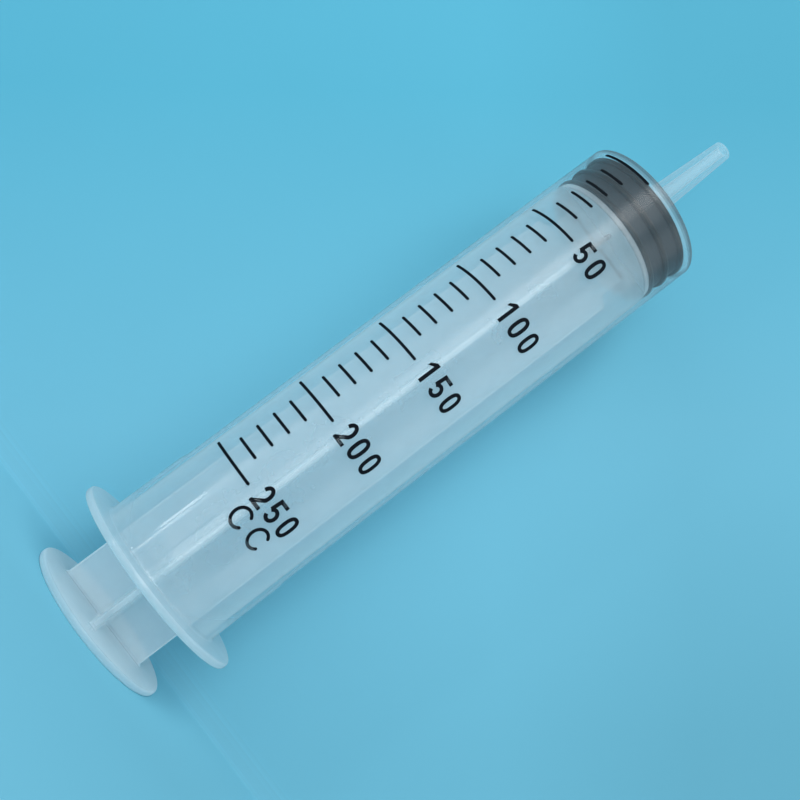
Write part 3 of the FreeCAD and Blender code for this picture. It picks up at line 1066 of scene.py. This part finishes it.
def ribbon(path, stroke, round_ends=False):
    """Left and right sides of a line of the given thickness along a path, mitred at its corners."""
    half = stroke / 2
    path = [Vector(p) for p in path]
    sides = []
    for i, point in enumerate(path):
        before = (point - path[i - 1]).normalized() if i else None
        after = (path[i + 1] - point).normalized() if i < len(path) - 1 else None
        first, second = before or after, after or before
        left = Vector((-first.y, first.x))
        across = (left + Vector((-second.y, second.x))).normalized()
        widen = half / max(across.dot(left), MITRE_LIMIT)
        sides.append((point + across * widen, point - across * widen))
    if round_ends:
        sides = cap(path[0], path[1], half)[::-1] + sides + cap(path[-1], path[-2], half, True)
    return sides


def cap(end, inner, half, forward=False):
    """Pairs of points that round off the end of a line."""
    out = (end - inner).normalized()
    across = Vector((-out.y, out.x)) if forward else Vector((out.y, -out.x))
    pairs = []
    for step in range(1, CAP_STEPS + 1):
        turn = math.radians(90 * min(step / CAP_STEPS, CAP_END))
        middle = end + out * half * math.sin(turn)
        spread = across * half * math.cos(turn)
        pairs.append((middle + spread, middle - spread))
    return pairs


def arc(centre, radii, start, end, steps=14):
    """Points on an ellipse from one angle to another, in degrees."""
    points = []
    for step in range(steps + 1):
        turn = math.radians(start + (end - start) * step / steps)
        points.append((centre[0] + radii[0] * math.cos(turn), centre[1] + radii[1] * math.sin(turn)))
    return points


def digit(symbol, width, height, stroke):
    """The strips of a condensed sans numeral whose lower left corner is the origin."""
    half = stroke / 2
    left, foot, top = half, half, height - half
    middle = width / 2
    if symbol == "0":
        return [ribbon(oval((middle, height / 2), (middle - left, height / 2 - half)), stroke)]
    if symbol == "1":
        stem, flag = 0.80 * width, 0.12 * width
        shoulder, notch = 0.80 * height, 0.66 * height
        return [
            ribbon([(stem - half, 0), (stem - half, height)], stroke),
            [
                (Vector((stem - stroke, height)), Vector((stem - stroke, shoulder))),
                (Vector((flag, shoulder)), Vector((flag, notch))),
            ],
        ]
    if symbol == "2":
        shift, rise, reach = 0.07 * width, 0.30 * height, middle - left - 0.02 * width
        bowl = arc((middle + shift, top - rise), (reach, rise), 165, -36)
        return [
            ribbon(bowl + [(left + shift, foot)], stroke),
            ribbon([(shift, foot), (width + shift, foot)], stroke),
        ]
    if symbol == "5":
        bowl_middle, shoulder = 0.315 * height, 0.46 * height
        stem = [(0.93 * width, top), (left + 0.06 * width, top), (left, shoulder)]
        bowl = arc((middle, bowl_middle), (middle - left, bowl_middle - half), 152, -155, 18)
        return [ribbon(stem, stroke), ribbon(bowl, stroke)]
    raise ValueError(f"no numeral {symbol}")


def oval(centre, radii, power=2.5, steps=36):
    """A closed path round a narrow rounded oval, its first point repeated."""
    points = []
    for step in range(steps + 1):
        turn = 2 * math.pi * step / steps
        c, s = math.cos(turn), math.sin(turn)
        points.append((
            centre[0] + radii[0] * math.copysign(abs(c) ** (2 / power), c),
            centre[1] + radii[1] * math.copysign(abs(s) ** (2 / power), s),
        ))
    return points


def print_mesh(name, strips, low, high):
    """One flat mesh of strips, each a list of point pairs, as closed slabs between two heights."""
    points, faces = [], []
    for strip in strips:
        base = len(points)
        for a, b in strip:
            points += [(a.x, a.y, low), (b.x, b.y, low), (a.x, a.y, high), (b.x, b.y, high)]
        for i in range(len(strip) - 1):
            k, n = base + 4 * i, base + 4 * i + 4
            faces += [
                (k, n, n + 1, k + 1), (k + 2, k + 3, n + 3, n + 2),
                (k, k + 2, n + 2, n), (k + 1, n + 1, n + 3, k + 3),
            ]
        last = base + 4 * (len(strip) - 1)
        faces += [(base, base + 1, base + 3, base + 2), (last, last + 2, last + 3, last + 1)]
    mesh = mesh_from(name, points, faces=faces)
    point_outwards(mesh)
    return mesh


MARK_STEPS = 24


class SYRINGE_OT_scale(bpy.types.Operator):
    """Prints the graduation marks, the numbers and the unit round the barrel."""

    bl_idname = "syringe.scale"
    bl_label = "Printed scale"

    def execute(self, context):
        settings = context.scene.syringe
        sizes = settings.scale
        material = printed_ink(settings.finish)
        rows = self.row_tree()
        wrap = (self.wrap_tree(), {"Radius": BARREL_RADIUS, "Material": material})
        zero = BARREL_HIGH.z - settings.barrel.nozzle_length - sizes.first_mark
        half = sizes.mark_width / 2
        lines = {
            "scale_marks_long": (sizes.mark_start, sizes.long_end, True),
            "scale_marks_short": (sizes.short_start, sizes.short_end, False),
        }
        for name, (start, end, numbered) in lines.items():
            first, last = start * BARREL_RADIUS + half, end * BARREL_RADIUS - half
            path = [(first + (last - first) * i / MARK_STEPS, zero) for i in range(MARK_STEPS + 1)]
            values = {
                "Count": sizes.mark_count + 1, "Pitch": -STROKE / sizes.mark_count,
                "Numbered": numbered, "Material": material,
            }
            strips = [ribbon(path, sizes.mark_width, round_ends=True)]
            self.add_print(name, strips, sizes, (rows, values), wrap)
        self.add_print("scale_numbers", self.numbers(sizes), sizes, wrap)
        self.add_print("scale_unit", self.unit(sizes), sizes, wrap)
        return {"FINISHED"}

    def numbers(self, sizes):
        """Strips of the numbers, from the nozzle down."""
        strips = []
        for place, text in enumerate(("50", "100", "150", "200", "250")):
            foot = sizes.numeral_top - place * sizes.numeral_spacing - sizes.numeral_height / 2
            for column, symbol in enumerate(text):
                corner = Vector((column * sizes.numeral_pitch - sizes.numeral_left, foot))
                glyph = digit(
                    symbol, sizes.numeral_width, sizes.numeral_height, sizes.numeral_stroke
                )
                strips += [[(a + corner, b + corner) for a, b in strip] for strip in glyph]
        return strips

    def unit(self, sizes):
        """Strips of the unit's two letters, each an open oval."""
        half_width, half_height = sizes.unit_width / 2, sizes.unit_height / 2
        half = sizes.unit_stroke / 2
        strips = []
        for letter in range(2):
            centre = (
                letter * sizes.unit_pitch - sizes.numeral_left + half_width,
                sizes.unit_base + half_height,
            )
            bow = arc(centre, (half_width - half, half_height - half), 42, 318, 30)
            strips.append(ribbon(bow, sizes.unit_stroke, round_ends=True))
        return strips

    def add_print(self, name, strips, sizes, *trees):
        """Makes a thin flat print of strips, and runs trees on it that set it on the barrel."""
        low, high = sizes.ink_lift, sizes.ink_lift + sizes.ink_thickness
        piece = new_piece(name, print_mesh(name, strips, low, high))
        for tree, values in trees:
            run_tree(piece, tree, values)
        settle(piece)
        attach(piece, "barrel")

    def row_tree(self):
        """A tree that repeats a mark along Y at each step, either the numbered ones or the rest."""
        tree, given = geometry_tree(
            "mark_rows", {"Count": "Int", "Pitch": "Float", "Numbered": "Bool", "Material": "Material"}
        )
        offset = add_node(tree, "ShaderNodeCombineXYZ", inputs={"Y": given["Pitch"]})
        line = add_node(
            tree, "GeometryNodeMeshLine", inputs={"Count": given["Count"], "Offset": offset}
        )
        index = add_node(tree, "GeometryNodeInputIndex")
        fifth = add_node(tree, "ShaderNodeMath", {"operation": "MODULO"}, {0: index, 1: 5.0})
        whole = add_node(
            tree, "ShaderNodeMath", {"operation": "COMPARE"}, {0: fifth, 1: 0.0, 2: 0.5}
        )
        chosen = add_node(
            tree, "ShaderNodeMath", {"operation": "COMPARE"}, {0: whole, 1: given["Numbered"], 2: 0.5}
        )
        copies = add_node(
            tree, "GeometryNodeInstanceOnPoints",
            inputs={"Points": line, "Selection": chosen, "Instance": given["Geometry"]},
        )
        close_tree(tree, copies, given["Material"])
        return tree

    def wrap_tree(self):
        """A tree that wraps a flat print round the barrel: X becomes the way round, Y the height."""
        tree, given = geometry_tree("wrap_on_barrel", {"Radius": "Float", "Material": "Material"})
        place = add_node(tree, "GeometryNodeInputPosition")
        flat = add_node(tree, "ShaderNodeSeparateXYZ", inputs={"Vector": place}).outputs
        turn = add_node(
            tree, "ShaderNodeMath", {"operation": "DIVIDE"}, {0: flat["X"], 1: given["Radius"]}
        )
        out = add_node(
            tree, "ShaderNodeMath", {"operation": "ADD"}, {0: given["Radius"], 1: flat["Z"]}
        )
        front = add_node(tree, "ShaderNodeMath", {"operation": "MULTIPLY"}, {0: out, 1: -1.0})
        unturned = add_node(tree, "ShaderNodeCombineXYZ", inputs={"Y": front, "Z": flat["Y"]})
        wrapped = add_node(
            tree, "ShaderNodeVectorRotate", {"rotation_type": "Z_AXIS"},
            {"Vector": unturned, "Angle": turn},
        )
        moved = add_node(
            tree, "GeometryNodeSetPosition",
            inputs={"Geometry": given["Geometry"], "Position": wrapped},
        )
        close_tree(tree, moved, given["Material"])
        return tree


class SYRINGE_PT_panel(bpy.types.Panel):
    """Lists the syringe's pieces in the sidebar."""

    bl_idname = "SYRINGE_PT_panel"
    bl_label = "Dispensing syringe"
    bl_space_type = "VIEW_3D"
    bl_region_type = "UI"
    bl_category = "Syringe"

    def draw(self, context):
        for operator in OPERATORS:
            self.layout.operator(operator.bl_idname)
        for group in ("barrel", "rod", "stopper", "scale", "finish", "stage"):
            box = self.layout.box()
            box.label(text=group.capitalize())
            settings = getattr(context.scene.syringe, group)
            for name in settings.__annotations__:
                box.prop(settings, name)


OPERATORS = (
    SYRINGE_OT_stage,
    SYRINGE_OT_barrel,
    SYRINGE_OT_plunger_rod,
    SYRINGE_OT_stopper,
    SYRINGE_OT_scale,
)
CLASSES = (
    SyringeBarrelSizes,
    SyringeRodSizes,
    SyringeStopperSizes,
    SyringeScaleSizes,
    SyringeFinish,
    SyringeStageSizes,
    SyringeSettings,
    *OPERATORS,
    SYRINGE_PT_panel,
)


def register():
    for item in CLASSES:
        bpy.utils.register_class(item)
    bpy.types.Scene.syringe = bpy.props.PointerProperty(type=SyringeSettings)


def unregister():
    del bpy.types.Scene.syringe
    for item in reversed(CLASSES):
        bpy.utils.unregister_class(item)


def main():
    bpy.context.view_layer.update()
    register()
    bpy.ops.syringe.stage()
    bpy.ops.syringe.barrel()
    bpy.ops.syringe.plunger_rod()
    bpy.ops.syringe.stopper()
    bpy.ops.syringe.scale()


if __name__ == "__main__":
    main()
